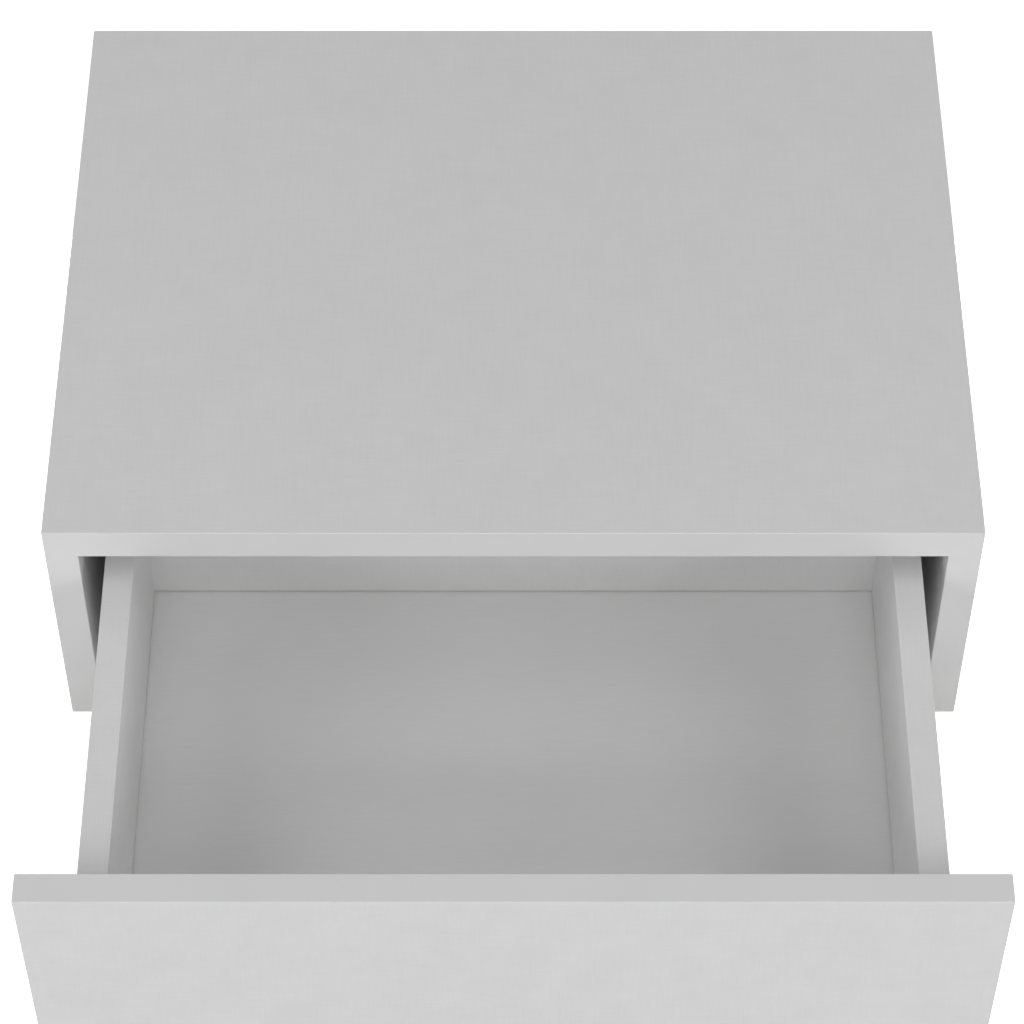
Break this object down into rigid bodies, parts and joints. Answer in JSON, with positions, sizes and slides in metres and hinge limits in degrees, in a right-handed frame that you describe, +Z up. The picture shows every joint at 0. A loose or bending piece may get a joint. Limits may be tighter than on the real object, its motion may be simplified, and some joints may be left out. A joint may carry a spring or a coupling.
{
  "type": "nightstand with drawers",
  "caption": "Wall-hung rectangular nightstand in light grey board with a handle-less drawer on bottom-mounted roller runners, shown pulled out.",
  "frame": {"origin": "centre of the four wall holes, on the wall plane at the back of the case", "axes": "+Z up, +Y towards the wall, -Y out of the drawer's front, +X to the right seen from the front"},
  "size_m": [0.45, 0.5315, 0.15],
  "materials": {
    "board": "light grey melamine-faced particleboard, matt with a very fine woven texture",
    "edge_band": "light grey ABS edge band, matt",
    "drawer_board": "light grey foil-wrapped particleboard, matt",
    "drawer_floor": "light grey printed hardboard, matt",
    "runner_steel": "white epoxy powder coat on rolled steel",
    "roller_plastic": "natural white nylon",
    "plated_steel": "zinc-plated steel",
    "zinc": "die-cast zinc",
    "beech": "fluted beech dowel",
    "bumper": "clear polyurethane bumper"
  },
  "bodies": {
    "case": {"top_panel": "board", "side_panel_left": "board", "side_panel_right": "board", "bottom_panel": "board", "back_panel": "board", "top_band_front": "edge_band", "top_band_left": "edge_band", "top_band_right": "edge_band", "side_band_front_left": "edge_band", "side_band_front_right": "edge_band", "side_band_low_left": "edge_band", "side_band_low_right": "edge_band", "bottom_band_front": "edge_band", "case_runner_left": "runner_steel", "case_runner_right": "runner_steel", "case_roller_pins": "plated_steel", "case_runner_screws": "plated_steel", "cam_locks": "zinc", "cam_bolts": "plated_steel", "case_dowels": "beech"},
    "drawer": {"drawer_front": "board", "front_band_top": "edge_band", "front_band_low": "edge_band", "front_band_left": "edge_band", "front_band_right": "edge_band", "drawer_side_left": "drawer_board", "drawer_side_right": "drawer_board", "drawer_back": "drawer_board", "drawer_bottom": "drawer_floor", "drawer_runner_left": "runner_steel", "drawer_runner_right": "runner_steel", "drawer_roller_pins": "plated_steel", "drawer_runner_screws": "plated_steel", "drawer_cam_locks": "zinc", "drawer_cam_bolts": "plated_steel", "drawer_dowels": "beech", "drawer_back_screws": "plated_steel", "bumper_pads": "bumper"},
    "case_roller_left": {"case_roller_left": "roller_plastic"},
    "case_roller_right": {"case_roller_right": "roller_plastic"},
    "drawer_roller_left": {"drawer_roller_left": "roller_plastic"},
    "drawer_roller_right": {"drawer_roller_right": "roller_plastic"}
  },
  "joints": [
    {"name": "drawer_slide", "type": "slide", "parent": "case", "child": "drawer", "axis": [0, -1, 0], "range_m": [-0.175, 0.01]},
    {"name": "case_roller_left_spin", "type": "hinge", "parent": "case", "child": "case_roller_left", "pos_m": [0, -0.326, -0.0465], "axis": [1, 0, 0], "range_deg": [-1433, 82.5]},
    {"name": "drawer_roller_left_spin", "type": "hinge", "parent": "drawer", "child": "drawer_roller_left", "pos_m": [0, -0.2865, -0.048], "axis": [1, 0, 0], "range_deg": [-1543, 88.5]},
    {"name": "case_roller_right_spin", "type": "hinge", "parent": "case", "child": "case_roller_right", "pos_m": [0, -0.326, -0.0465], "axis": [1, 0, 0], "range_deg": [-1433, 82.5]},
    {"name": "drawer_roller_right_spin", "type": "hinge", "parent": "drawer", "child": "drawer_roller_right", "pos_m": [0, -0.2865, -0.048], "axis": [1, 0, 0], "range_deg": [-1543, 88.5]}
  ],
  "couplings": [
    {"joint": "case_roller_left_spin", "follows": "drawer_slide", "rad_per_m": 142.86},
    {"joint": "drawer_roller_left_spin", "follows": "drawer_slide", "rad_per_m": 153.85},
    {"joint": "case_roller_right_spin", "follows": "drawer_slide", "rad_per_m": 142.86},
    {"joint": "drawer_roller_right_spin", "follows": "drawer_slide", "rad_per_m": 153.85}
  ]
}
